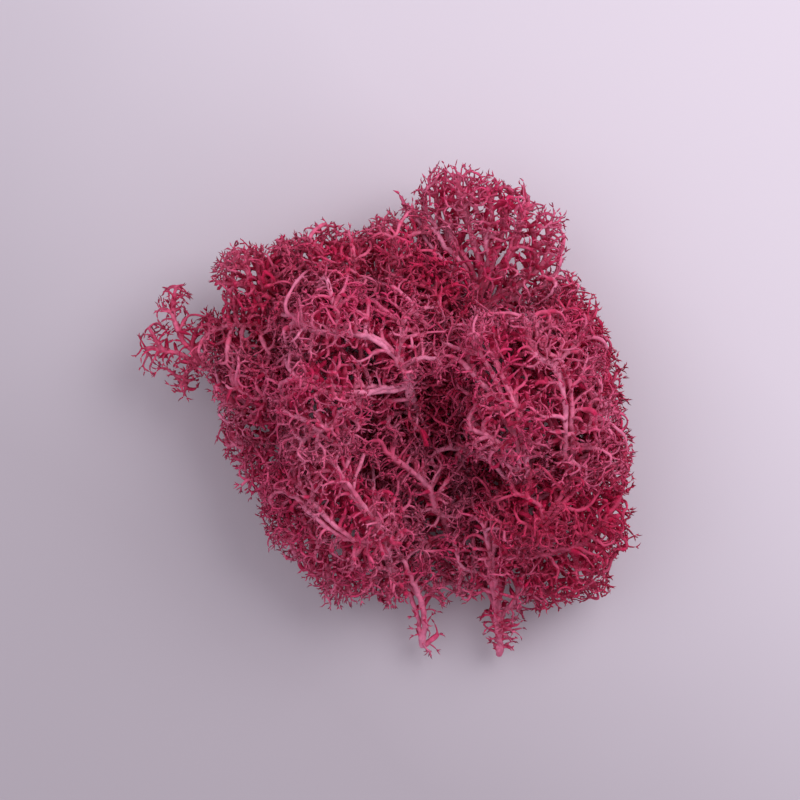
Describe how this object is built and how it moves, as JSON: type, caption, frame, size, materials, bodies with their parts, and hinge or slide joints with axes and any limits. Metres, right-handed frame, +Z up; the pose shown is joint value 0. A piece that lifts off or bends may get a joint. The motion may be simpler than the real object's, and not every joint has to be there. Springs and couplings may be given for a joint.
{
  "type": "moss clump",
  "caption": "Torn clump of dyed, preserved reindeer moss: rounded crowns of fine forking twigs on bare stems, tangled into a low cushion that rests loose on a surface.",
  "frame": {"origin": "on the surface the clump rests on, under the middle of its bounding box", "axes": "+Z up; +X to the right and +Y away, with the open sprig reaching out to -X and the two drooping tails to -Y"},
  "size_m": [0.0804, 0.0798, 0.0339],
  "materials": {
    "rose_moss": "matte dyed lichen twigs, faintly woolly",
    "crimson_moss": "matte dyed lichen twigs, more deeply dyed",
    "shaded_moss": "matte dyed lichen twigs, darker and denser",
    "bare_stem": "matte bare lichen stem, paler dye, finely wrinkled"
  },
  "bodies": {
    "root": {"right_dome": "rose_moss", "left_dome": "rose_moss", "main_stem": "bare_stem", "base_tuft": "shaded_moss", "upper_right_tuft": "rose_moss", "upper_middle_tuft": "crimson_moss", "upper_left_tuft": "crimson_moss", "left_sprig": "crimson_moss", "left_flank_tuft": "rose_moss", "lower_left_tuft": "rose_moss", "centre_tuft": "shaded_moss", "right_edge_tuft": "shaded_moss", "lower_right_tuft": "shaded_moss", "right_tail": "rose_moss", "middle_tail": "rose_moss"}
  },
  "joints": []
}
